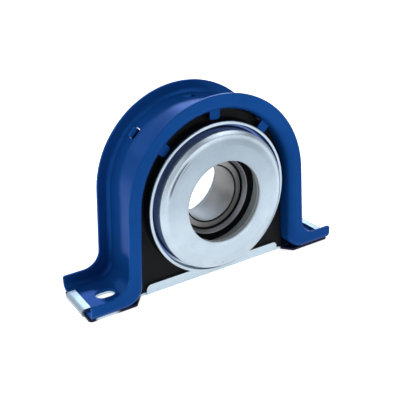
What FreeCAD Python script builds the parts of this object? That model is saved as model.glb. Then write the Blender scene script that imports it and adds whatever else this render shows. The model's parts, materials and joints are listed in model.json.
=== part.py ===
import FreeCAD, Part

import math
import os
import re

import Sketcher

# Driveshaft centre bearing: a sealed ball bearing with a wide inner ring, held by two pressed
# retainers in a rubber cushion, inside a pressed channel bracket that a plated strap closes below.
#
# Frame: origin on the axis of the bore in the middle plane of the bracket, Y along the shaft,
# X from foot to foot, Z up.
# Distances along the shaft are measured outwards from the middle plane, and a loop over the
# two sides turns them into places in front (-Y) and behind (+Y).
#
# Sizes are in millimetres, angles in degrees. Radii are built up from the bore outwards, so that
# each piece keeps its seat on the one inside it.
SIZES = {
    # Ball bearing.
    "bore_radius": 22.5,
    "inner_wall": 6.0,          # bore to shoulder of the inner ring
    "inner_land": 4.0,          # shoulder of the inner ring to the circle of the balls
    "outer_land": 4.5,          # circle of the balls to the shoulder of the outer ring
    "outer_wall": 5.5,
    "inner_front": 12.0,        # the inner ring reaches further behind than in front
    "inner_rear": 16.3,
    "bore_chamfer": 0.8,
    "inner_round": 0.8,
    "outer_round": 1.0,
    "ball_radius": 6.35,
    "ball_count": 9,
    "race_gap": 0.1,
    "cage_sheet": 0.8,
    "cage_band": 2.7,           # half the width of the ribbon
    "cage_gap": 0.15,
    "rivet_radius": 0.9,
    "rivet_head": 1.7,
    "rivet_cap": 0.6,
    "rivet_round": 0.48,
    "seal_room": 0.8,           # cage to seal disc
    "seat_depth": 1.4,          # recess for the seal disc, along and across
    "disc_sheet": 1.2,
    "disc_gap": 0.4,
    # Flingers pressed on the inner ring.
    "flinger_sheet": 1.1,
    "root_gap": 0.1,            # flinger clear of the outer ring's face
    "flinger_neck": 12.4,
    "flinger_reach": 16.7,
    "flinger_flare": 2.3,       # growth in radius from neck to rim
    # Seal cases and lip seals.
    "case_sheet": 1.2,
    "case_step": 1.0,           # bore of the case outside the outer ring's shoulder
    "case_reach": 29.5,
    "lip_back": 12.2,
    "lip_front": 15.9,
    "lip_clear": 0.85,          # lip to flinger
    "lip_slope": 2.2,           # growth of the lip's bore from back to front
    "lip_nose": 0.7,            # width of the edge that nearly touches the flinger
    "seal_round": 0.3,
    # Dust shields.
    "shield_sheet": 1.2,
    "shield_ledge": 12.2,       # outside of the shield beyond the outer ring
    "shield_face": 33.0,
    "shield_shoulder": 5.0,
    "shield_rim": 2.3,
    "shield_lip": 27.6,
    "case_clear": 4.4,          # rolled hole inside the seal case
    # Retainers around the bearing.
    "retainer_sheet": 1.5,
    "groove_width": 3.05,       # open groove between shield and ring
    "ring_width": 2.6,
    "ring_face": 24.8,
    "ring_depth": 2.4,
    "ring_round": 0.5,
    "groove_floor": 19.5,
    "seat_floor": 12.5,
    # Rubber cushion.
    "cushion_inset": 13.3,      # face of the cushion behind the face of the flange
    "cushion_corner": 2.5,
    "cushion_edge": 1.3,        # clears the inside bend of the lips
    "ring_lap": 0.4,            # edge of the ring beyond the collar
    "collar_fillet": 3.0,
    "side_rubber": 5.8,         # collar to web, beside the shaft
    "floor_skin": 3.0,          # rubber between the collar's fillet and the feet's underside
    # Bracket: web, flanges and feet of one pressed sheet.
    "arch_rise": 3.6,           # centre of the arch above the shaft axis
    "leg_splay": 3.6,           # lean of each leg away from upright
    "sheet": 2.5,
    "web_bend": 3.5,            # inside radius between web and flange
    "bracket_depth": 55.0,
    "flange_height": 12.2,      # free edge of the flange above the inner face of the web
    "flange_round": 0.6,
    "foot_bend": 15.0,          # underside radius between leg and foot
    "foot_flange": 12.2,        # free edge of the flange above the underside of the foot
    "foot_corner": 14.0,        # hollow corner of the flange edge above the foot
    "foot_beyond": 22.5,        # end of the foot beyond the middle of its slot
    "foot_tip": 2.0,            # rounding of the flange at the foot's end
    "bolt_out": 24.2,           # middle of the slot outside the inner face of the web
    "slot_length": 16.0,
    "slot_width": 11.5,
    # Tabs lanced from the web and turned in over the rubber.
    "tab_angle": 45.0,
    "tab_width": 8.8,
    "tab_clear": 1.0,           # tip of the topmost tab to the retainer's ring
    "tab_setback": 7.7,         # front of the tab behind the face of the flange
    "tab_round": 2.4,
    "tab_bend": 3.5,            # outside radius between web and tab
    "tab_root": 0.5,            # how far the tab reaches into the web
    "lance_gap": 0.35,
    "window_length": 6.5,
    # Strap under the bracket.
    "strap_sheet": 2.0,
    "strap_bend": 1.0,
    "strap_inset": 3.5,         # edge of the strap under the foot, behind the flange's face
    "strap_over": 1.1,          # flat of the strap beyond the end of the foot
    "strap_corner": 6.0,
    "heel_out": 9.2,            # where the strap starts to narrow, outside the web's inner face
    "waist_out": 0.7,           # where it has narrowed
    "lip_height": 9.3,
    "lip_short": 3.3,           # end of the lips inside the web's inner face
    "lip_round": 4.0,
    "fold_width": 29.5,
    "fold_length": 4.5,         # tongue lying on the foot
    # Clearances.
    "fit": 0.05,                # pieces pressed or bonded together
    "nest": 0.1,                # rubber in the bracket, strap around the foot and the rubber
    "stub": 0.02,               # straight left between two roundings of a fold
    "overcut": 1.0,             # cutting shapes reach past the face they open
}
# Distances that follow from the sizes and from each other.
FOLLOWING = {
    # Bearing.
    "inner_shoulder": "(bore_radius + inner_wall)",
    "pitch_radius": "(inner_shoulder + inner_land)",
    "outer_shoulder": "(pitch_radius + outer_land)",
    "outer_radius": "(outer_shoulder + outer_wall)",
    "outer_half": "(ball_radius + cage_gap + cage_sheet + seal_room + seat_depth)",
    # Flingers, seals and shields.
    "flinger_root": "(outer_half + root_gap)",
    "lip_tip": "(inner_shoulder + fit + flinger_sheet + lip_clear)",
    "lip_edge": "(lip_tip + lip_slope)",
    "case_bore": "(outer_shoulder + case_step)",
    "shield_hole": "(case_bore - case_clear - shield_sheet)",
    "shield_radius": "(outer_radius + shield_ledge)",
    # Retainers and cushion.
    "ring_inner": "(shield_radius + fit + groove_width)",
    "ring_outer": "(ring_inner + ring_width)",
    "collar_radius": "(ring_outer - ring_lap)",
    "cushion_half": "(bracket_depth / 2 - cushion_inset)",
    # Inner face of the web over the arch, and free edge of the flange.
    "arch_radius": "(collar_radius + side_rubber)",
    "flange_radius": "(arch_radius + flange_height)",
    # Underside of the feet below the shaft axis.
    "foot_drop": "(collar_radius + collar_fillet + floor_skin)",
    # Distance between the two slots, and end of the foot from the middle.
    "bolt_spread": "(2 * (arch_radius + bolt_out))",
    "foot_reach": "(bolt_spread / 2 + foot_beyond)",
    # Strap: its flat's end from the middle, its width under the feet, and its lips.
    "strap_reach": "(foot_reach + strap_over)",
    "strap_width": "(bracket_depth - 2 * strap_inset)",
    "neck_start": "(arch_radius + heel_out)",
    "neck_end": "(arch_radius + waist_out)",
    "lip_face": "(cushion_half + nest + strap_sheet)",
    "lip_length": "(2 * (arch_radius - lip_short))",
    "lip_top": "(lip_height - foot_drop - strap_sheet)",
}
SIDES = (("front", -1), ("rear", 1))
SIZE_NAME = re.compile(r"\b(%s)\b" % "|".join(SIZES))
FOLLOWING_NAME = re.compile(r"\b(%s)\b" % "|".join(FOLLOWING))

doc = FreeCAD.newDocument("centre_bearing")
sheet = doc.addObject("Spreadsheet::Sheet", "Sizes")
for row, (size_name, size) in enumerate(SIZES.items(), start=1):
    sheet.set("A%d" % row, size_name)
    sheet.set("B%d" % row, str(size))
    sheet.setAlias("B%d" % row, size_name)
doc.recompute()


def bound(expression):
    """The expression with every size read from the sheet."""
    while FOLLOWING_NAME.search(expression):
        expression = FOLLOWING_NAME.sub(lambda name: FOLLOWING[name.group(1)], expression)
    return SIZE_NAME.sub(r"Sizes.\1", expression)


def value(expression):
    """What an expression of sizes comes to now."""
    return float(sheet.evalExpression(bound(expression)))


def bind(feature, **bindings):
    """Ties each named property of a feature to an expression of sizes."""
    for prop, expression in bindings.items():
        feature.setExpression(prop, bound(expression))


def at_side(side, expression):
    """A distance from the middle plane, on the front (-1) or the rear (1) side."""
    return "%d * (%s)" % (side, expression)


# Bodies and sketches
parts = []


def new_body(label):
    body = doc.addObject("PartDesign::Body", label)
    body.Label = label
    parts.append(body)
    return body


def origin_feature(body, role):
    return next(f for f in body.Origin.OriginFeatures if f.Role == role)


def new_sketch(body, name, role, **offsets):
    """A sketch on an origin plane, moved by offsets such as x="arch_rise"."""
    sketch = body.newObject("Sketcher::SketchObject", body.Label + "_" + name)
    sketch.AttachmentSupport = [(origin_feature(body, role), "")]
    sketch.MapMode = "FlatFace"
    for axis, expression in offsets.items():
        sketch.setExpression("AttachmentOffset.Base." + axis, bound(expression))
    return sketch


def fix_point(sketch, geometry, point, x, y):
    """Places a point of a sketch by expressions for its two coordinates."""
    for kind, expression in (("DistanceX", x), ("DistanceY", y)):
        rule = Sketcher.Constraint(kind, -1, 1, geometry, point, value(expression))
        index = sketch.addConstraint(rule)
        sketch.setExpression("Constraints[%d]" % index, bound(expression))


def fix_radius(sketch, geometry, radius):
    index = sketch.addConstraint(Sketcher.Constraint("Radius", geometry, value(radius)))
    sketch.setExpression("Constraints[%d]" % index, bound(radius))


def arc_through(centre, radius, first, last):
    """The arc about centre that runs anticlockwise from first to last."""
    circle = Part.Circle(centre, FreeCAD.Vector(0, 0, 1), radius)
    turn_start = math.atan2(first.y - centre.y, first.x - centre.x)
    turn_end = math.atan2(last.y - centre.y, last.x - centre.x)
    return Part.ArcOfCircle(circle, turn_start, turn_end)


def closed_outline(sketch, corners):
    """Draws a closed outline through corners (x, y) or, where rounded, (x, y, radius)."""
    spots = [FreeCAD.Vector(value(corner[0]), value(corner[1]), 0) for corner in corners]
    joints = []
    for i, here in enumerate(spots):
        back = (spots[i - 1] - here).normalize()
        ahead = (spots[(i + 1) % len(spots)] - here).normalize()
        if len(corners[i]) == 2:
            joints.append((here, here, None, False))
            continue
        radius = value(corners[i][2])
        half_turn = back.getAngle(ahead) / 2
        reach = radius / math.tan(half_turn)
        arrive = here + back * reach
        leave = here + ahead * reach
        centre = here + (back + ahead).normalize() * (radius / math.sin(half_turn))
        left_turn = ahead.cross(back).z > 0
        first, last = (arrive, leave) if left_turn else (leave, arrive)
        arc = sketch.addGeometry(arc_through(centre, radius, first, last), False)
        joints.append((arrive, leave, arc, left_turn))
    lines = []
    for i, joint in enumerate(joints):
        following = joints[(i + 1) % len(joints)]
        lines.append(sketch.addGeometry(Part.LineSegment(joint[1], following[0]), False))
    for i, (arrive, leave, arc, left_turn) in enumerate(joints):
        before, after = lines[i - 1], lines[i]
        if arc is None:
            sketch.addConstraint(Sketcher.Constraint("Coincident", before, 2, after, 1))
            fix_point(sketch, after, 1, *corners[i][:2])
            continue
        arc_first, arc_last = (1, 2) if left_turn else (2, 1)
        sketch.addConstraint(Sketcher.Constraint("Tangent", before, 2, arc, arc_first))
        sketch.addConstraint(Sketcher.Constraint("Tangent", arc, arc_last, after, 1))
        fix_radius(sketch, arc, corners[i][2])
        corner = sketch.addGeometry(Part.Point(spots[i]), True)
        sketch.addConstraint(Sketcher.Constraint("PointOnObject", corner, 1, before))
        sketch.addConstraint(Sketcher.Constraint("PointOnObject", corner, 1, after))
        fix_point(sketch, corner, 1, *corners[i][:2])


def circle_at(sketch, x, y, radius):
    centre = FreeCAD.Vector(value(x), value(y), 0)
    normal = FreeCAD.Vector(0, 0, 1)
    circle = sketch.addGeometry(Part.Circle(centre, normal, value(radius)), False)
    fix_point(sketch, circle, 3, x, y)
    fix_radius(sketch, circle, radius)


def shaped(body, kind, name, sketch, **settings):
    """A feature of the body that is made from a sketch, such as a Pad or a Revolution."""
    feature = body.newObject("PartDesign::" + kind, body.Label + "_" + name)
    feature.Profile = sketch
    for prop, setting in settings.items():
        setattr(feature, prop, setting)
    return feature


def turned(body, kind, name, outlines, offsets=None):
    """Turns closed outlines, given as radius and distance along the shaft, about the Y axis."""
    sketch = new_sketch(body, name + "_section", "XY_Plane", **(offsets or {}))
    for corners in outlines:
        closed_outline(sketch, corners)
    return shaped(body, kind, name, sketch, ReferenceAxis=(sketch, ["V_Axis"]), Angle=360)


def rounded(body, name, feature, radius, wanted):
    """Rounds the edges of a feature whose points all pass the test."""
    doc.recompute()
    names = []
    for number, edge in enumerate(feature.Shape.Edges, start=1):
        if all(wanted(point) for point in edge.discretize(5)):
            names.append("Edge%d" % number)
    fillet = body.newObject("PartDesign::Fillet", body.Label + "_" + name)
    fillet.Base = (feature, names)
    bind(fillet, Radius=radius)
    return fillet


def near(first, second):
    return abs(first - second) < 1e-3


def draw_slot(sketch, x):
    """A slot along X, centred at x on the middle plane."""
    straight = "(slot_length - slot_width) / 2"
    centres = {sign: "%s + %d * %s" % (x, sign, straight) for sign in (-1, 1)}
    radius = value("slot_width / 2")
    arcs = {}
    for sign, centre in centres.items():
        hub = FreeCAD.Vector(value(centre), 0, 0)
        low = hub + FreeCAD.Vector(0, -radius, 0)
        high = hub + FreeCAD.Vector(0, radius, 0)
        first, last = (low, high) if sign > 0 else (high, low)
        arcs[sign] = sketch.addGeometry(arc_through(hub, radius, first, last), False)
    top = sketch.addGeometry(Part.LineSegment(
        sketch.getPoint(arcs[1], 2), sketch.getPoint(arcs[-1], 1)), False)
    bottom = sketch.addGeometry(Part.LineSegment(
        sketch.getPoint(arcs[-1], 2), sketch.getPoint(arcs[1], 1)), False)
    for first, first_end, second, second_end in (
            (arcs[1], 2, top, 1), (top, 2, arcs[-1], 1),
            (arcs[-1], 2, bottom, 1), (bottom, 2, arcs[1], 1)):
        sketch.addConstraint(
            Sketcher.Constraint("Tangent", first, first_end, second, second_end))
    for sign, centre in centres.items():
        fix_point(sketch, arcs[sign], 3, centre, "0")
    fix_radius(sketch, arcs[1], "slot_width / 2")


# Bracket
def omega_line(sketch, radius, level, bend, reach):
    """Draws foot, bend, leg, arch, leg, bend and foot as one tangent line.

    The foot lies at the height level and ends at reach from the middle. Returns the two feet.
    """
    splay = math.radians(value("leg_splay"))
    rise, arch, turn = value("arch_rise"), value(radius), value(bend)
    floor, end = value(level), value(reach)
    centre_z = floor + turn
    centre_x = (arch + turn - (centre_z - rise) * math.sin(splay)) / math.cos(splay)
    outward = (math.cos(splay), math.sin(splay))

    def spot(sign, x, z):
        return FreeCAD.Vector(sign * x, z, 0)

    geometry = {}
    ends = {}
    for sign in (-1, 1):
        shoulder = spot(sign, arch * outward[0], rise + arch * outward[1])
        knee = spot(sign, centre_x - turn * outward[0], centre_z - turn * outward[1])
        heel = spot(sign, centre_x, floor)
        toe = spot(sign, end, floor)
        hub = spot(sign, centre_x, centre_z)
        first, last = (knee, heel) if sign > 0 else (heel, knee)
        geometry[sign] = (
            sketch.addGeometry(Part.LineSegment(shoulder, knee), False),
            sketch.addGeometry(arc_through(hub, turn, first, last), False),
            sketch.addGeometry(Part.LineSegment(heel, toe), False),
        )
        ends[sign] = shoulder
    crown = FreeCAD.Vector(0, rise, 0)
    top = sketch.addGeometry(arc_through(crown, arch, ends[1], ends[-1]), False)
    sketch.addConstraint(Sketcher.Constraint("Tangent", geometry[1][0], 1, top, 1))
    sketch.addConstraint(Sketcher.Constraint("Tangent", geometry[-1][0], 1, top, 2))
    fix_point(sketch, top, 3, "0", "arch_rise")
    fix_radius(sketch, top, radius)
    for sign, (leg, corner, foot) in geometry.items():
        knee_end, heel_end = (1, 2) if sign > 0 else (2, 1)
        sketch.addConstraint(Sketcher.Constraint("Tangent", leg, 2, corner, knee_end))
        sketch.addConstraint(Sketcher.Constraint("Tangent", corner, heel_end, foot, 1))
        sketch.addConstraint(Sketcher.Constraint("Horizontal", foot))
        fix_radius(sketch, corner, bend)
        fix_point(sketch, foot, 2, "%d * (%s)" % (sign, reach), level)
        height = "arch_rise + (%s) * sin(leg_splay)" % radius
        index = sketch.addConstraint(
            Sketcher.Constraint("DistanceY", -1, 1, leg, 1, value(height)))
        sketch.setExpression("Constraints[%d]" % index, bound(height))
    return geometry[-1][2], geometry[1][2]


def join_ends(sketch, first, second):
    """Closes two lines by a straight edge between their second ends."""
    start = sketch.getPoint(first, 2)
    finish = sketch.getPoint(second, 2)
    edge = sketch.addGeometry(Part.LineSegment(start, finish), False)
    sketch.addConstraint(Sketcher.Constraint("Coincident", first, 2, edge, 1))
    sketch.addConstraint(Sketcher.Constraint("Coincident", second, 2, edge, 2))


def web_height(x, z):
    """How far a point of the bracket's outline lies outside the inner face of the web."""
    splay = math.radians(value("leg_splay"))
    arch, rise, turn = value("arch_radius"), value("arch_rise"), value("foot_bend")
    x = abs(x)
    hub_z = turn - value("foot_drop")
    hub_x = (arch + turn - (hub_z - rise) * math.sin(splay)) / math.cos(splay)

    def along_leg(at_x, at_z):
        return (at_z - rise) * math.cos(splay) - at_x * math.sin(splay)

    if x >= hub_x:
        return z + value("foot_drop")
    if along_leg(x, z) < along_leg(hub_x, hub_z):
        return turn - math.hypot(x - hub_x, z - hub_z)
    if along_leg(x, z) < 0:
        return x * math.cos(splay) + (z - rise) * math.sin(splay) - arch
    return math.hypot(x, z - rise) - arch


def make_bracket():
    body = new_body("bracket")
    web_back = "arch_radius + sheet"
    foot_top = "sheet - foot_drop"
    # The outline between the web's inner face and the free edge of the flanges, at full depth.
    outline = new_sketch(body, "outline", "XZ_Plane")
    inner = omega_line(outline, "arch_radius", "-foot_drop", "foot_bend", "foot_reach")
    outer = omega_line(
        outline, "flange_radius", "foot_flange - foot_drop", "foot_corner", "foot_reach")
    for low, high in zip(inner, outer):
        join_ends(outline, low, high)
    block = shaped(body, "Pad", "block", outline, SideType="Symmetric")
    bind(block, Length="bracket_depth")
    # The channel that stays open outwards between the two flanges.
    channel = new_sketch(body, "channel", "XZ_Plane")
    left, right = omega_line(channel, web_back, foot_top, "foot_bend - sheet", "foot_reach + sheet")
    beyond, above = "foot_reach + sheet", "arch_rise + flange_radius + sheet"
    posts = []
    for sign, foot in ((-1, left), (1, right)):
        low = channel.getPoint(foot, 2)
        high = FreeCAD.Vector(sign * value(beyond), value(above), 0)
        post = channel.addGeometry(Part.LineSegment(low, high), False)
        channel.addConstraint(Sketcher.Constraint("Coincident", foot, 2, post, 1))
        fix_point(channel, post, 2, "%d * (%s)" % (sign, beyond), above)
        posts.append(post)
    join_ends(channel, *posts)
    hollow = shaped(body, "Pocket", "hollow", channel, SideType="Symmetric")
    bind(hollow, Length="bracket_depth - 2 * sheet")
    # Both faces of each bend, so that the sheet keeps its thickness round the corner.
    half = value("bracket_depth / 2")
    flange_back = half - value("sheet")
    inside = rounded(body, "inside_bend", hollow, "web_bend", lambda p: (
        near(abs(p.y), flange_back) and near(web_height(p.x, p.z), value("sheet"))))
    outside = rounded(body, "outside_bend", inside, "web_bend + sheet", lambda p: (
        near(abs(p.y), half) and near(web_height(p.x, p.z), 0)))
    tip_z = value("foot_flange - foot_drop")
    tips = rounded(body, "foot_tips", outside, "foot_tip", lambda p: (
        near(abs(p.x), value("foot_reach")) and near(p.z, tip_z)))
    edge_start = value("foot_flange - flange_round")
    rounded(body, "free_edges", tips, "flange_round", lambda p: (
        (near(abs(p.y), half) or near(abs(p.y), flange_back))
        and web_height(p.x, p.z) > edge_start))
    # Bolt slots in the feet.
    slots = new_sketch(body, "slots", "XY_Plane")
    for sign in (-1, 1):
        draw_slot(slots, "%d * bolt_spread / 2" % sign)
    shaped(body, "Pocket", "slotted", slots, Type="ThroughAll")
    # A window and the tab turned in from it, near each flange, at the first tab's angle.
    windows = new_sketch(body, "windows", "XY_Plane", z="arch_rise")
    tabs = new_sketch(body, "tabs", "YZ_Plane", y="arch_rise")
    half_window = "(tab_width / 2 + lance_gap)"
    face = "bracket_depth / 2 - tab_setback"
    root = "(%s + sheet / 2)" % face
    back = "(%s - sheet)" % face
    web_out = "arch_radius + sheet"
    tip = "ring_outer + tab_clear - arch_rise"
    for name, side in SIDES:
        inboard = at_side(side, "%s - window_length" % back)
        outboard = at_side(side, root)
        closed_outline(windows, [
            ("-" + half_window, outboard),
            (half_window, outboard),
            (half_window, inboard, "tab_round"),
            ("-" + half_window, inboard, "tab_round"),
        ])
        start = at_side(side, root + " + tab_root")
        closed_outline(tabs, [
            (start, web_out),
            (at_side(side, back), web_out, "tab_bend"),
            (at_side(side, back), tip),
            (at_side(side, face), tip),
            (at_side(side, face), "arch_radius", "tab_bend - sheet"),
            (start, "arch_radius"),
        ])
    holes = shaped(body, "Pocket", "window", windows, Type="ThroughAll", Reversed=True)
    tab = shaped(body, "Pad", "tab", tabs, SideType="Symmetric")
    bind(tab, Length="tab_width")
    for name, reverse in (("right_tabs", False), ("left_tabs", True)):
        pattern = body.newObject("PartDesign::PolarPattern", "bracket_" + name)
        pattern.Originals = [holes, tab]
        pattern.Axis = (windows, ["V_Axis"])
        pattern.Mode = "Spacing"
        pattern.Occurrences = 2
        pattern.Reversed = reverse
        bind(pattern, Offset="tab_angle")
        body.Tip = pattern
        doc.recompute()
    corner_distance = math.hypot(value(tip), value("tab_width / 2"))
    rounded(body, "tab_corners", pattern, "tab_round", lambda p: (
        near(math.hypot(p.x, p.z - value("arch_rise")), corner_distance)))


make_bracket()


# Strap under the bracket
def make_strap():
    body = new_body("base_strap")
    low = "-foot_drop - strap_sheet"
    outer_bend = "(strap_bend + strap_sheet)"
    plate_half = "(lip_face - %s)" % outer_bend
    corners = []
    for x_sign, y_sign in ((1, -1), (1, 1), (-1, 1), (-1, -1)):
        run = [
            ("%d * neck_end" % x_sign, "%d * %s" % (y_sign, plate_half), "strap_corner"),
            ("%d * neck_start" % x_sign, "%d * strap_width / 2" % y_sign, "strap_corner / 2"),
            ("%d * strap_reach" % x_sign, "%d * strap_width / 2" % y_sign, "strap_corner / 2"),
        ]
        corners += run if x_sign * y_sign < 0 else run[::-1]
    plan = new_sketch(body, "plan", "XY_Plane", z=low)
    closed_outline(plan, corners)
    for sign in (-1, 1):
        draw_slot(plan, "%d * bolt_spread / 2" % sign)
    plate = shaped(body, "Pad", "plate", plan)
    bind(plate, Length="strap_sheet")
    # Lips turned up along the middle, in front and behind.
    lips = new_sketch(body, "lips", "YZ_Plane")
    for _, side in SIDES:
        closed_outline(lips, [
            (at_side(side, plate_half + " - strap_sheet"), low),
            (at_side(side, "lip_face"), low, outer_bend),
            (at_side(side, "lip_face"), "lip_top"),
            (at_side(side, "lip_face - strap_sheet"), "lip_top"),
            (at_side(side, "lip_face - strap_sheet"), "-foot_drop", "strap_bend"),
            (at_side(side, plate_half + " - strap_sheet"), "-foot_drop"),
        ])
    wall = shaped(body, "Pad", "lip", lips, SideType="Symmetric")
    bind(wall, Length="lip_length")
    top = value("lip_top")
    rounded(body, "lip_corners", wall, "lip_round", lambda p: (
        near(abs(p.x), value("lip_length / 2")) and near(p.z, top)))
    # A tongue at each end, folded up round the foot and down on it.
    tongue = new_sketch(body, "tongue", "XZ_Plane")
    fold_start = "(foot_reach + nest)"
    gap = "(sheet + 2 * nest)"
    inner_fold = "(%s - stub) / 2" % gap
    outer_fold = "(%s - stub) / 2 + strap_sheet" % gap
    floor = "-foot_drop"
    ceiling = "%s + %s" % (floor, gap)
    for sign in (-1, 1):
        tip = "%d * (%s - fold_length)" % (sign, fold_start)
        inside = "%d * (%s + %s / 2)" % (sign, fold_start, gap)
        outside = "%d * (%s + %s / 2 + strap_sheet)" % (sign, fold_start, gap)
        closed_outline(tongue, [
            (tip, low),
            (outside, low, outer_fold),
            (outside, ceiling + " + strap_sheet", outer_fold),
            (tip, ceiling + " + strap_sheet"),
            (tip, ceiling),
            (inside, ceiling, inner_fold),
            (inside, floor, inner_fold),
            (tip, floor),
        ])
    folded = shaped(body, "Pad", "fold", tongue, SideType="Symmetric")
    bind(folded, Length="fold_width")


make_strap()


# Rubber cushion
def make_cushion():
    body = new_body("rubber_cushion")
    splay = "leg_splay"
    radius = "(arch_radius - nest)"
    floor = "(nest - foot_drop)"
    face = new_sketch(body, "face", "XZ_Plane")
    # Legs of the outline follow the web and meet the floor in rounded corners.
    foot_x = "(%s / cos(%s) + (arch_rise - %s) * tan(%s))" % (radius, splay, floor, splay)
    shoulder_x = "(%s * cos(%s))" % (radius, splay)
    shoulder_z = "(arch_rise + %s * sin(%s))" % (radius, splay)
    crown = FreeCAD.Vector(0, value("arch_rise"), 0)
    right = FreeCAD.Vector(value(shoulder_x), value(shoulder_z), 0)
    left = FreeCAD.Vector(-right.x, right.y, 0)
    arch = face.addGeometry(arc_through(crown, value(radius), right, left), False)
    fix_point(face, arch, 3, "0", "arch_rise")
    fix_point(face, arch, 1, shoulder_x, shoulder_z)
    index = face.addConstraint(
        Sketcher.Constraint("DistanceY", -1, 1, arch, 2, value(shoulder_z)))
    face.setExpression("Constraints[%d]" % index, bound(shoulder_z))
    legs = {}
    for sign, shoulder in ((1, right), (-1, left)):
        corner = FreeCAD.Vector(sign * value(foot_x), value(floor), 0)
        leg = face.addGeometry(Part.LineSegment(shoulder, corner), False)
        face.addConstraint(
            Sketcher.Constraint("Coincident", leg, 1, arch, 1 if sign > 0 else 2))
        fix_point(face, leg, 2, "%d * %s" % (sign, foot_x), floor)
        legs[sign] = leg
    join_ends(face, legs[-1], legs[1])
    block = shaped(body, "Pad", "block", face, SideType="Symmetric")
    bind(block, Length="2 * cushion_half")
    low = value(floor)
    corners = rounded(body, "corners", block, "cushion_corner", lambda p: (
        near(abs(p.x), value(foot_x)) and near(p.z, low)))
    rounded(body, "edges", corners, "cushion_edge", lambda p: (
        near(abs(p.y), value("cushion_half")) and near(p.z, low)))
    # A collar on both faces reaches up to the rings of the retainers.
    ring = new_sketch(body, "ring", "XZ_Plane")
    circle_at(ring, "0", "0", "collar_radius")
    collar = shaped(body, "Pad", "collar", ring, SideType="Symmetric")
    bind(collar, Length="2 * (ring_face - ring_depth - fit)")
    half, round_face = value("cushion_half"), value("collar_radius")
    rounded(body, "collar_base", collar, "collar_fillet", lambda p: (
        near(abs(p.y), half) and near(math.hypot(p.x, p.z), round_face)))
    # Grooves in the underside of the collar, where the lips of the strap stand.
    grooves = new_sketch(body, "grooves", "YZ_Plane")
    for _, side in SIDES:
        closed_outline(grooves, [
            (at_side(side, "cushion_half"), "-foot_drop"),
            (at_side(side, "lip_face + nest"), "-foot_drop"),
            (at_side(side, "lip_face + nest"), "lip_top + nest"),
            (at_side(side, "cushion_half"), "lip_top + nest"),
        ])
    cut = shaped(body, "Pocket", "grooved", grooves, SideType="Symmetric")
    bind(cut, Length="lip_length + 2 * nest")
    # The bore takes the stepped outside of both retainers.
    cavity = []
    for _, side in SIDES:
        steps = [
            ("ring_inner + retainer_sheet + fit", at_side(side, "ring_face + fit")),
            ("ring_inner + retainer_sheet + fit",
             at_side(side, "groove_floor - retainer_sheet - fit")),
            ("shield_radius + fit + retainer_sheet + fit",
             at_side(side, "groove_floor - retainer_sheet - fit")),
            ("shield_radius + fit + retainer_sheet + fit",
             at_side(side, "seat_floor - retainer_sheet - fit")),
            ("outer_radius + 2 * fit + retainer_sheet",
             at_side(side, "seat_floor - retainer_sheet - fit")),
        ]
        cavity += steps if side < 0 else steps[::-1]
    cavity = [("0", "-ring_face - fit")] + cavity + [("0", "ring_face + fit")]
    turned(body, "Groove", "bore", [cavity])


make_cushion()


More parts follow.
